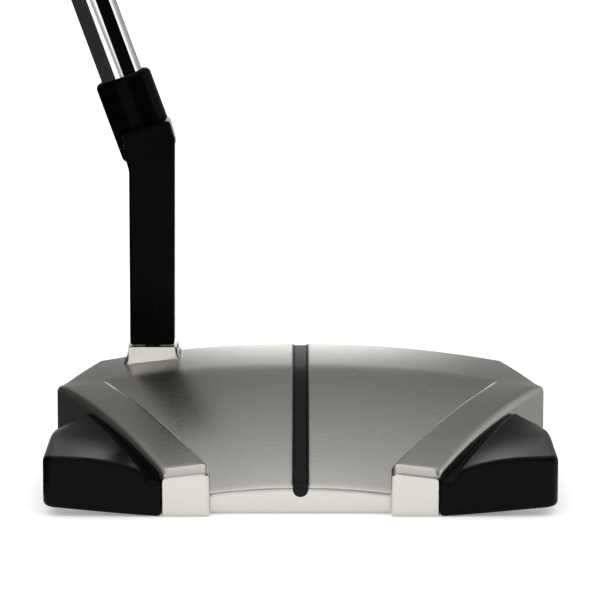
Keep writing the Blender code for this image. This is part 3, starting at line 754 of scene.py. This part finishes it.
def make_body():
    bevel_lines = []
    for inset in (1.35, 1.55, 1.64, 1.7, 1.76, 1.85, 2.05):
        for side in (-1, 1):
            bevel_lines.append([(side * x, REAR_Y + inset) for x in np.arange(18.0, 30.0, 0.5)])
    groove_lines = []
    for x in GROOVE_LINES:
        for side in (-1, 1):
            groove_lines.append([(side * x, y) for y in np.arange(NOTCH_Y, FACE_Y, 0.6)])
    grid = np.concatenate((
        plan_grid(-41, 23, -23, 36, 0.42),
        plan_grid(-53, REAR_Y, 53, FACE_Y, PITCH),
    ))
    lines = ridge_lines() + groove_lines + bevel_lines
    block = machined_block(body_outline(), body_z, sole_z, 0.7, lines, grid)
    for vert in block.verts:
        lean = ease((vert.co.y - 20) / 14)
        vert.co.y += (FACE_TOP_Z - vert.co.z) * math.tan(LOFT) * lean

    tabs = joined([prism([(side * x, y) for x, y in TAB_OUTLINE], 1.8, 5.0) for _, side in SIDES])
    pocket = moved(insert_block(INSERT_HALF_WIDTH + GAP, GAP, 5.4, 3.0), matrix=face_matrix())
    plate = prism(
        rounded_box(-PLATE_X - GAP, PLATE_REAR_Y - GAP, PLATE_X + GAP, PLATE_FRONT_Y + GAP, 4.0),
        -2, PLATE_THICKNESS + GAP)
    mouth = PORT_RADIUS + 0.4
    port = (
        (0, -3), (mouth, -3), (mouth, 0.25), (PORT_RADIUS, 0.65), (PORT_RADIUS, PORT_HIGH),
        (2.7, PORT_HIGH), (2.7, 16.3), (0, 16.3))
    wing_hole = ((0, -3), (3.1, -3), (3.1, 3.2), (1.8, 4.1), (1.8, 8), (0, 8))
    neck_hole = ((0, -3), (3.7, -3), (3.7, 3.2), (2.0, 4.4), (2.0, 30), (0, 30))
    first = [pocket, plate, moved(turned(neck_hole, 48), (NECK_SCREW_X, NECK_SCREW_Y, 0))]
    for _, side in SIDES:
        first.append(moved(turned(port, 96), (side * PORT_X, PORT_Y, 0)))
        first += [moved(turned(wing_hole, 48), (side * x, y, 0)) for x, y in WING_SCREWS]
    second = [box((-19.5, -11.5, -2), (19.5, 18.0, 11.0))]
    second += [drill(1.6, 0, 7.5, place=spot) for spot in PLATE_SCREWS]
    body = carved(block, ("UNION", tabs), ("DIFFERENCE", joined(first)), ("DIFFERENCE", joined(second)))
    finish_piece("milled_body", body, ALUMINIUM, "club", ["head_body"])


# ---------------------------------------------------------------- wings

def crease_x(y):
    """Half width of the line where the channel beside the body ends and the pad starts."""
    inner = outer_x(y) + WING_GAP
    return inner + min(0.5, 0.25 * max(0.5, WING_X - inner)) + CHANNEL_WIDTH * clamp(y / REAR_Y) ** 0.8


def wing_top(x, y):
    """The wing's upper side: a channel beside the body, a crease, and a pad that falls to the outer edge."""
    inner = outer_x(y) + WING_GAP
    width = max(0.5, WING_X - inner)
    rear = clamp(y / REAR_Y)
    start = crease_x(y)
    fall = max(0.0, (y - WING_FALL_Y) / (SHOULDER_Y - WING_FALL_Y))
    edge = WING_EDGE_Z - (WING_EDGE_Z - WING_TIP_Z) * fall ** 1.7
    if y > 0:
        crease = CREASE_TOP_Z - (CREASE_TOP_Z - CREASE_TIP_Z) * y / SHOULDER_Y
    else:
        crease = CREASE_TOP_Z - (CREASE_TOP_Z - CREASE_REAR_Z) * rear ** 1.6
    floor = min(crease - 0.3, stepped(outer_x(y), y) - 1.7)
    floor += (CHANNEL_Z - floor) * rear ** 4
    round_off = min(1.2, 0.3 * width)
    part = min(1.0, (x - start) / max(0.2, WING_X - round_off - start))
    power = 1 + 1.8 * rear
    pad = crease + (edge - crease) * (1 - (1 - part) ** power)
    climb = crease + (x - start) * (crease - floor) / (0.03 * width + 0.2)
    return soft_min(pad, soft_max(floor, climb, 0.35), 0.35)


def make_wing(name, side):
    tip_y = 14.0
    corners = (
        (outer_x(REAR_Y) + WING_GAP, REAR_Y, 0.3, 0.9), (WING_X, REAR_Y, 2.5, 1.2),
        (WING_X, tip_y, 0.3, 0.2), (outer_x(tip_y) + WING_GAP, tip_y, 0.2, 0.12),
    )
    outline = Outline(corners, lambda point: 0.7, lambda spot: 0.3 * max(0.4, WING_X - outer_x(spot.y)))
    crease_lines = []
    for out in (-1.2, -0.9, -0.6, -0.45, -0.3, -0.15, 0.0, 0.15, 0.3, 0.5):
        crease_lines.append([(crease_x(y) + out, y) for y in np.arange(REAR_Y, tip_y, 0.6)])
    grid = plan_grid(27, REAR_Y, WING_X, tip_y, 0.8)
    wing = machined_block(outline, wing_top, sole_z, 1.0, crease_lines, grid)
    under = [(x + math.copysign(0.4, x - 40), y + math.copysign(0.4, y + 15)) for x, y in TAB_OUTLINE]
    strip = []
    for y in (-2.7, -26.3):
        wall = outer_x(y)
        strip.append([(wall + out, y, z) for out, z in ((-1, 5.9), (1.1, 5.9), (1.1, 9.1), (-1, 9.1))])
    holes = [drill(1.75, 4, 9.8, place=spot) for spot in WING_SCREWS]
    cuts = (prism(under, -2, 5.3), joined([loft(strip)]), joined(holes))
    wing = carved(wing, *[("DIFFERENCE", cut) for cut in cuts])
    wing.normal_update()
    # Up-facing pad faces take the more reflective copy of the black steel: a painted sheen on the pad tops
    for face in wing.faces:
        middle = face.calc_center_median()
        if face.normal.z > 0.7 and middle.x > crease_x(middle.y):
            face.material_index = 1
    mirror = Matrix.Scale(side, 4, (1, 0, 0))
    node = f"{name}_wing"
    piece = finish_piece(f"{name}_side_wing", wing, BLACK, "club", [node], matrix=mirror)
    piece.data.materials.append(PAD_SHEEN_BLACK)


# ---------------------------------------------------------------- sight line

def make_sight_line():
    """Black fill in the groove, which runs over the rear edge and ends on the wall in a half circle."""
    edge = 0.6
    path = [(y, centre_z(y), 0.0) for y in np.arange(FACE_Y - 0.35, NOTCH_Y + edge, -0.5)]
    roll_z = centre_z(NOTCH_Y + edge)
    path += [
        (NOTCH_Y + edge - edge * math.sin(a), roll_z - edge * (1 - math.cos(a)), a)
        for a in np.linspace(0.0, math.pi / 2, 9)
    ]
    path += [(NOTCH_Y, roll_z - edge - down, math.pi / 2) for down in np.linspace(0.1, 1.55, 12)]
    rows = []
    for y, z, turn in path:
        left = math.dist(path[-1][:2], (y, z)) if turn > 1.5 else 9.0
        half = 1.58 * math.sqrt(clamp(1 - ((1.58 - left) / 1.58) ** 2)) if left < 1.58 else 1.58
        half = max(half, 0.05)
        sunk = ease((y - NOTCH_Y - 1.0) / 1.6)
        floor, lip, under = 0.5 * sunk - 0.03, 0.22 * sunk - 0.03, 0.82 * sunk + 0.05
        section = ((half, under), (half, lip), (half - 0.1 * half, lip), (half - 0.22 * half, floor))
        out_y, out_z = -math.sin(turn), math.cos(turn)
        ring = [(x, y - out_y * d, z - out_z * d) for x, d in section]
        ring += [(-x, y - out_y * d, z - out_z * d) for x, d in reversed(section)]
        rows.append(ring)
    finish_piece("sight_line_fill", loft(rows), SIGHT_BLACK, "club", ["sight_line"], smooth=50)


# ---------------------------------------------------------------- face insert and sole

def make_insert():
    block = bevelled(insert_block(INSERT_HALF_WIDTH, 0, INSERT_THICKNESS, 0), 0.25, 2, 60)
    middle, end = (INSERT_LOW + INSERT_HIGH) / 2, INSERT_HALF_WIDTH + 1
    cuts = []
    for step in range(1, 5):
        for z in (middle - step * 1.6, middle + step * 1.6):
            section = ((-0.4, z - 0.2), (1, z - 0.55), (1, z + 0.55), (-0.4, z + 0.2))
            cuts.append(prism(section, -end, end, "x"))
    insert = moved(carved(block, ("DIFFERENCE", joined(cuts))), matrix=face_matrix())
    finish_piece("insert", insert, INSERT, "club", ["face_insert"])


THREAD = ((0.0, 0.0), (0.14, 0.2), (0.0, 0.4))


def screw(head_radius, low, high, shank_radius, top, countersunk=True):
    """A screw that points up, with a rounded head edge and a hexagon socket."""
    steps = 48
    angles = [2 * math.pi * i / steps for i in range(steps)]
    edge = 0.12 * (high - low)
    cone = high if countersunk else high - 0.05
    near = low + 0.4 * (high - low) if countersunk else high - 0.1
    profile = [(shank_radius - 0.5, top), (shank_radius, top - 0.6)]
    thread_z = top - 1.0
    while thread_z > high + 1.2:
        profile += [(shank_radius - depth, thread_z - down) for depth, down in THREAD]
        thread_z -= 0.5
    profile += [(shank_radius, cone), (head_radius, near)]
    profile += [(head_radius, low + edge), (head_radius - edge, low)]
    rows = [[(r * math.cos(a), r * math.sin(a), z) for a in angles] for r, z in profile]
    flat = 0.46 * head_radius
    depth = 0.55 * (high - low)
    for grow, z in ((1.08, low), (1.0, low + 0.1), (1.0, low + depth), (0.15, low + depth + 0.1)):
        row = []
        for a in angles:
            off = (a + math.pi / 6) % (math.pi / 3) - math.pi / 6
            reach = grow * flat / math.cos(off)
            row.append((reach * math.cos(a), reach * math.sin(a), z))
        rows.append(row)
    return loft(rows)


def make_sole():
    outline = rounded_box(-PLATE_X, PLATE_REAR_Y, PLATE_X, PLATE_FRONT_Y, 4.0)
    plate = bevelled(prism(outline, 0, PLATE_THICKNESS), 0.22, 2, 60)
    hole = ((0, -1), (3.0, -1), (3.0, 0.1), (2.9, 0.2), (2.9, 0.6), (1.6, 1.5), (1.6, 3), (0, 3))
    holes = joined([moved(turned(hole, 48), (x, y, 0)) for x, y in PLATE_SCREWS])
    plate = carved(plate, ("DIFFERENCE", holes))
    finish_piece("sole_cover", plate, PLATE_STEEL, "club", ["sole_plate"])
    for number, (x, y) in enumerate(PLATE_SCREWS, 1):
        body = moved(screw(2.5, 0.1, 1.4, 1.25, 7.0), (x, y, 0))
        node = f"sole_plate_screw_{number}"
        finish_piece(f"cover_screw_{number}", body, SCREW_STEEL, "club", [node])
    body = moved(screw(3.3, 0.9, 4.0, 1.65, 34.0), (NECK_SCREW_X, NECK_SCREW_Y, 0))
    finish_piece("neck_bolt", body, SCREW_STEEL, "club", ["neck_screw"])


def make_side_fittings(name, side):
    for number, (x, y) in enumerate(WING_SCREWS, 1):
        body = moved(screw(2.8, 2.0, 3.8, 1.4, 9.3), (side * x, y, 0))
        node = f"{name}_wing_screw_{number}"
        finish_piece(f"{name}_wing_bolt_{number}", body, SCREW_STEEL, "club", [node])
    place = (side * PORT_X, PORT_Y, 0)
    profile = (
        (2.7, 6.3), (2.7, 4.5), (4.5, 4.5), (4.5, 1.05), (4.75, 0.8), (6.2, 0.8), (6.35, 1.0), (6.5, 0.8),
        (7.2, 0.8), (7.6, 1.2), (7.6, 5.9), (7.2, 6.3),
    )
    weight = moved(turned(profile, 96, ring=True), place)
    unit = f"{name}_weight_unit"
    finish_piece(f"{name}_sole_weight", weight, WEIGHT_STEEL, unit, [f"{name}_weight"])
    body = moved(screw(4.2, 1.4, 4.2, 2.4, 16.0, countersunk=False), place)
    unit = f"{name}_screw_unit"
    finish_piece(f"{name}_captive_screw", body, SCREW_STEEL, unit, [f"{name}_weight_screw"])
    circle = [
        (5.6 + 0.55 * math.cos(a), 7.15 + 0.55 * math.sin(a))
        for a in [2 * math.pi * i / 16 for i in range(16)]
    ]
    seal = moved(turned(circle, 72, ring=True), place)
    finish_piece(f"{name}_port_seal", seal, SEAL, "club", [f"{name}_weight_seal"])


# ---------------------------------------------------------------- neck, shaft and grip

POST_X, POST_HALF_WIDTH, POST_REAR_Y, POST_FRONT_Y = -32.6, 4.9, 27.5, 34.5
KNUCKLE = ((-27.5, 68.4), (-27.4, 70.2), (-28.7, 74.5), (-39.0, 71.3), (-38.3, 66.0), (-37.5, 63.4))
BARREL_RADIUS, BARREL_LENGTH, BARREL_ROUND, SOCKET_DEPTH = 6.3, 18.4, 1.2, 16.3


def make_neck():
    foot = BOSS_TOP_Z + GAP
    outline = [(POST_X - POST_HALF_WIDTH, foot), (POST_X + POST_HALF_WIDTH, foot), *KNUCKLE]
    outline = rounded(outline, [0, 0, 6, 0.8, 1.2, 1.2, 1.5, 6], 5)
    post = bevelled(prism(outline, POST_REAR_Y, POST_FRONT_Y, "y"), 0.7, 3, 60)
    bridge = bevelled(prism(rounded(KNUCKLE, 1.0, 4), POST_REAR_Y + 1, BARREL_TOP[1], "y"), 0.4, 2, 60)
    bmesh.ops.scale(bridge, vec=(0.96, 1, 0.985), space=Matrix.Translation((33, 0, -69)), verts=bridge.verts)
    turn = [math.pi / 2 * k / 8 for k in range(9)]
    low = -BARREL_LENGTH
    profile = [(0, low)]
    profile += [
        (BARREL_RADIUS - BARREL_ROUND * (1 - math.sin(a)), low + BARREL_ROUND * (1 - math.cos(a)))
        for a in turn
    ]
    profile += [
        (BARREL_RADIUS - BARREL_ROUND * (1 - math.cos(a)), -BARREL_ROUND * (1 - math.sin(a))) for a in turn
    ]
    barrel = moved(turned(profile + [(0, 0)], 96), matrix=SHAFT_FRAME)
    socket = ((0, -SOCKET_DEPTH), (5.0, -SOCKET_DEPTH), (5.0, -0.15), (5.25, 0.1), (5.25, 5), (0, 5))
    hole = drill(1.9, foot - 3, 34.3, 48, (POST_X, NECK_SCREW_Y))
    cuts = joined([moved(turned(socket, 96), matrix=SHAFT_FRAME), hole])
    slope = [(POST_REAR_Y - 1, 1.5), (POST_REAR_Y - 1, -3.0), (POST_REAR_Y, -2.6)]
    slope += [(POST_REAR_Y + 0.9 * part ** 2, -2.6 + 2.9 * part) for part in (0.25, 0.5, 0.75, 1.0)]
    slope.append((POST_REAR_Y + 1.2, 1.5))
    lean = math.atan2(KNUCKLE[2][1] - KNUCKLE[3][1], KNUCKLE[2][0] - KNUCKLE[3][0])
    middle = ((KNUCKLE[2][0] + KNUCKLE[3][0]) / 2, 0, (KNUCKLE[2][1] + KNUCKLE[3][1]) / 2)
    wedge = prism(slope, -9, 9, "x")
    moved(wedge, matrix=Matrix.Translation(middle) @ Matrix.Rotation(-lean, 4, "Y"))
    neck = carved(post, ("DIFFERENCE", wedge), ("UNION", bridge), ("UNION", barrel), ("DIFFERENCE", cuts))
    finish_piece("neck", neck, NECK_BLACK, "club", ["hosel_neck"], smooth=28)


TIP, TIP_RADIUS, BUTT_RADIUS, TAPER_START, WALL = -16.0, 4.7, 7.5, 110.0, 0.6
GRIP_LENGTH, GRIP_FLAT_LOW, GRIP_FLAT_HIGH = 264.0, 8.8, 11.6
CAP_THICKNESS = 3.0


def shaft_radius(along):
    part = max(0.0, (along - TAPER_START) / (BUTT - TAPER_START))
    return TIP_RADIUS + part * (BUTT_RADIUS - TIP_RADIUS)


def grip_loop(radius, along, steps=96):
    """A round section with a flat on its thumb side, blended into the round."""
    part = (along - BUTT + GRIP_LENGTH) / GRIP_LENGTH
    flat = GRIP_FLAT_LOW + part * (GRIP_FLAT_HIGH - GRIP_FLAT_LOW)
    loop = []
    for i in range(steps):
        angle = 2 * math.pi * i / steps
        loop.append((min(radius * math.cos(angle), flat), radius * math.sin(angle), along))
    return loop


def grip_radius(part):
    return 9.9 + 2.6 * part + 2.2 * math.exp(-((part - 0.8) / 0.17) ** 2)


def make_shaft_and_grip():
    top = BUTT - CAP_THICKNESS - GAP
    outer = [(shaft_radius(s), s) for s in (TIP, TAPER_START, top)]
    inner = [(shaft_radius(s) - WALL, s) for s in (top, TAPER_START, TIP)]
    tube = turned(outer + inner, 128, ring=True)
    finish_piece("shaft_tube", tube, CHROME, "club", ["shaft"], matrix=SHAFT_FRAME)

    bottom, length = BUTT - GRIP_LENGTH, GRIP_LENGTH - CAP_THICKNESS - GAP
    rows = [grip_loop(grip_radius(0) - 1.6 + 1.6 * math.sin(a), bottom + 2 - 2 * math.cos(a))
            for a in np.linspace(0.0, math.pi / 2, 6)]
    count = 150
    for i in range(1, count + 1):
        part = i / count
        along = bottom + 2 + (length - 2) * part
        ribbed = ease((part - 0.03) / 0.02) * ease((0.97 - part) / 0.02)
        groove = 0.16 * ribbed * (0.5 - 0.5 * math.cos(2 * math.pi * i / 3))
        row = []
        for x, y, z in grip_loop(grip_radius(part), along):
            behind = ease((2.0 - x) / 3.0)
            shrink = 1 - groove * behind / grip_radius(part)
            row.append((x * shrink, y * shrink, z))
        rows.append(row)
    low_bore, high_bore = shaft_radius(bottom) + 1.1, shaft_radius(top) + 1.1
    bore = ((0, bottom - 1), (low_bore, bottom - 1), (high_bore, top + 1), (0, top + 1))
    grip = carved(loft(rows), ("DIFFERENCE", turned(bore, 96)))
    finish_piece("grip_sleeve", grip, GRIP_RUBBER, "club", ["grip"], matrix=SHAFT_FRAME)

    radius, low = grip_radius(1), BUTT - CAP_THICKNESS
    rows = [grip_loop(radius, low)]
    quarter = np.linspace(0, math.pi / 2, 7)
    rows += [grip_loop(radius - 1 + math.cos(a), BUTT - 1 + math.sin(a)) for a in quarter]
    rows += [grip_loop(r, BUTT - drop) for r, drop in ((7.0, 0.0), (6.7, 0.35), (6.3, 0.35))]
    stem = turned(((0, low - 12), (6.0, low - 12), (6.5, low - 11.5), (6.5, low + 0.5), (0, low + 0.5)), 96)
    vent = drill(1.5, low - 14, BUTT + 2, 48)
    cap = carved(loft(rows), ("UNION", stem), ("DIFFERENCE", vent))
    finish_piece("end_cap", cap, CAP_RUBBER, "club", ["grip_end_cap"], matrix=SHAFT_FRAME)


# ---------------------------------------------------------------- inner pieces and assembly

INNER = {
    "insert_backing": FILM, "cavity_damper": FOAM, "heel_wing_pad": URETHANE, "toe_wing_pad": URETHANE,
    "shaft_tip_plug": PLUG, "grip_tape": TAPE,
}

make_body()
make_sight_line()
make_insert()
make_sole()
for name, side in SIDES:
    make_wing(name, side)
    make_side_fittings(name, side)
make_neck()
make_shaft_and_grip()
for node, material in INNER.items():
    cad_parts[node].data.materials.clear()
    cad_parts[node].data.materials.append(material)


# ---------------------------------------------------------------- floor, light and camera

scene = bpy.context.scene


def stage_mesh(name, bm, material):
    mesh = bpy.data.meshes.new(name)
    bm.to_mesh(mesh)
    bm.free()
    item = bpy.data.objects.new(name, mesh)
    scene.collection.objects.link(item)
    mesh.materials.append(material)
    return item


def seen_in_reflections(item):
    """Hide a card from everything but reflections, so that it blocks neither light nor any view."""
    for ray in ("camera", "diffuse", "shadow", "transmission", "volume_scatter"):
        setattr(item, f"visible_{ray}", False)


FLOOR_GLOW, WORLD_LEVEL = 0.27, 1.18


def make_floor():
    """A white floor that glows a little, so that it reads as plain white like the background."""
    material = new_material(
        "floor_white", (0.9, 0.9, 0.9), 0.9, 0.0, Specular_IOR_Level=0.0, Emission_Strength=FLOOR_GLOW)
    material.node_tree.nodes["Principled BSDF"].inputs["Emission Color"].default_value = (1, 1, 1, 1)
    tint(material, noise(material, (40, 40, 40)), (0.895, 0.895, 0.895), (0.905, 0.905, 0.905))
    bm = bmesh.new()
    bmesh.ops.create_grid(bm, x_segments=2, y_segments=2, size=6)
    stage_mesh("floor", bm, material)


def ramp(tree, source, stops):
    """Grey levels at places between 0 and 1."""
    node = tree.nodes.new("ShaderNodeValToRGB")
    band = node.color_ramp
    while len(band.elements) < len(stops):
        band.elements.new(0.5)
    for element, (place, level) in zip(band.elements, stops):
        element.position = place
        element.color = (level, level, level, 1)
    tree.links.new(source, node.inputs["Fac"])
    return node.outputs["Color"]


def blended(tree, part, first, second):
    node = tree.nodes.new("ShaderNodeMix")
    node.data_type = "RGBA"
    tree.links.new(part, node.inputs["Factor"])
    tree.links.new(first, node.inputs["A"])
    tree.links.new(second, node.inputs["B"])
    return node.outputs["Result"]


def turn_of(degrees):
    """Azimuth from the camera's side, positive towards the toe, as a place on the radial gradient."""
    return (degrees + 90) / 360 % 1.0


def make_tent():
    """A light tent round the club, seen only in reflections: its levels depend on direction from the head."""
    material = bpy.data.materials.new("tent")
    material.use_nodes = True
    tree = material.node_tree
    tree.nodes.clear()
    place = tree.nodes.new("ShaderNodeTexCoord").outputs["Object"]
    radial = tree.nodes.new("ShaderNodeTexGradient")
    radial.gradient_type = "RADIAL"
    tree.links.new(place, radial.inputs["Vector"])
    unit = tree.nodes.new("ShaderNodeVectorMath")
    unit.operation = "NORMALIZE"
    tree.links.new(place, unit.inputs[0])
    parts = tree.nodes.new("ShaderNodeSeparateXYZ")
    tree.links.new(unit.outputs["Vector"], parts.inputs["Vector"])
    around, rise = radial.outputs["Fac"], parts.outputs["Z"]
    walls = ramp(tree, around, WALL_LEVELS)
    back = ramp(tree, rise, BACK_LEVELS)
    roof = ramp(tree, rise, ROOF_LEVELS)
    behind = ramp(tree, around, BEHIND)
    high = ramp(tree, rise, HIGH)
    front = blended(tree, ramp(tree, around, FRONT), walls, ramp(tree, rise, FRONT_LEVELS))
    sides = blended(tree, ramp(tree, around, BEHIND_SIDES), front, ramp(tree, rise, SIDE_LEVELS))
    low_part = blended(tree, behind, sides, back)
    level = blended(tree, high, low_part, roof)
    glow = tree.nodes.new("ShaderNodeEmission")
    output = tree.nodes.new("ShaderNodeOutputMaterial")
    tree.links.new(level, glow.inputs["Color"])
    glow.inputs["Strength"].default_value = TENT_STRENGTH
    tree.links.new(glow.outputs["Emission"], output.inputs["Surface"])
    profile = ((0.62, 0.002), (0.62, 1.0), (0.5, 1.2), (0.25, 1.32), (0, 1.35))
    seen_in_reflections(stage_mesh("tent", turned(profile, 96), material))


def sin(degrees):
    return math.sin(math.radians(degrees))


TENT_STRENGTH = 1.0
WALL_LEVELS = (
    (0.0, 0.014), (turn_of(-34), 0.014), (turn_of(-33), 1.3), (turn_of(-27), 1.3), (turn_of(9), 0.45),
    (turn_of(11), 0.003), (turn_of(90), 0.003), (turn_of(93), 1.5), (turn_of(118), 0.5),
    (turn_of(172), 0.2), (turn_of(188), 0.18), (turn_of(200), 0.05),
)
FRONT_LEVELS = ((sin(4), 0.45), (sin(8), 1.3), (sin(30), 1.2))
SIDE_LEVELS = ((sin(6), 0.45), (sin(19), 0.25), (sin(27), 0.17), (sin(36), 0.15))
BACK_LEVELS = (
    (sin(3), 2.6), (sin(12), 2.6), (sin(16), 1.8), (sin(20), 0.9), (sin(24), 0.35), (sin(30), 0.18),
    (sin(36), 0.17), (sin(50), 0.31), (sin(67), 0.48), (sin(76), 1.2))
ROOF_LEVELS = ((sin(35), 0.17), (sin(50), 0.31), (sin(67), 0.48), (sin(76), 1.2))
FRONT = ((turn_of(-28), 0.0), (turn_of(-26), 1.0), (turn_of(8.4), 1.0), (turn_of(9), 0.0))
BEHIND_SIDES = (
    (turn_of(150), 0.0), (turn_of(158), 1.0), (turn_of(166), 1.0), (turn_of(172), 0.0),
    (turn_of(188), 0.0), (turn_of(194), 1.0), (turn_of(204), 1.0), (turn_of(212), 0.0))
BEHIND = ((turn_of(170.5), 0.0), (turn_of(177.5), 1.0), (turn_of(182.5), 1.0), (turn_of(189.5), 0.0))
HIGH = ((sin(35), 0.0), (sin(50), 1.0))
GROUND_CARDS = (
    ("heel", 0.015, ((-56, -20), (-60, 50), (-200, 620), (-620, 600), (-620, -300), (-430, -560))),
    ("toe", 0.3, ((56, -20), (600, -20), (600, 620), (60, 620))),
)


def make_ground_cards():
    """Darker cards on the floor at heel and toe, seen only in reflections."""
    for end, grey, outline in GROUND_CARDS:
        name = f"{end}_ground_card"
        material = new_material(name, (grey, grey, grey), 0.9, 0.0)
        bm = bmesh.new()
        bm.faces.new([bm.verts.new((x * MM, y * MM, 0.0015)) for x, y in outline])
        bmesh.ops.recalc_face_normals(bm, faces=bm.faces)
        seen_in_reflections(stage_mesh(name, bm, material))


make_floor()
make_tent()
make_ground_cards()

world = bpy.data.worlds.new("white_studio")
scene.world = world
world.use_nodes = True
world.node_tree.nodes["Background"].inputs["Color"].default_value = (1, 1, 1, 1)
world.node_tree.nodes["Background"].inputs["Strength"].default_value = WORLD_LEVEL
world.cycles_visibility.glossy = False

CAMERA_DOWN = 8.957
camera_data = bpy.data.cameras.new("camera")
camera_data.lens = 225.24
camera_data.sensor_width = 36
camera_data.shift_x = -0.00083
camera = bpy.data.objects.new("camera", camera_data)
camera.location = (0, -0.7866, 0.1632)
camera.rotation_euler = (math.radians(90 - CAMERA_DOWN), 0, 0)
scene.collection.objects.link(camera)
scene.camera = camera
scene.view_settings.view_transform = "Standard"
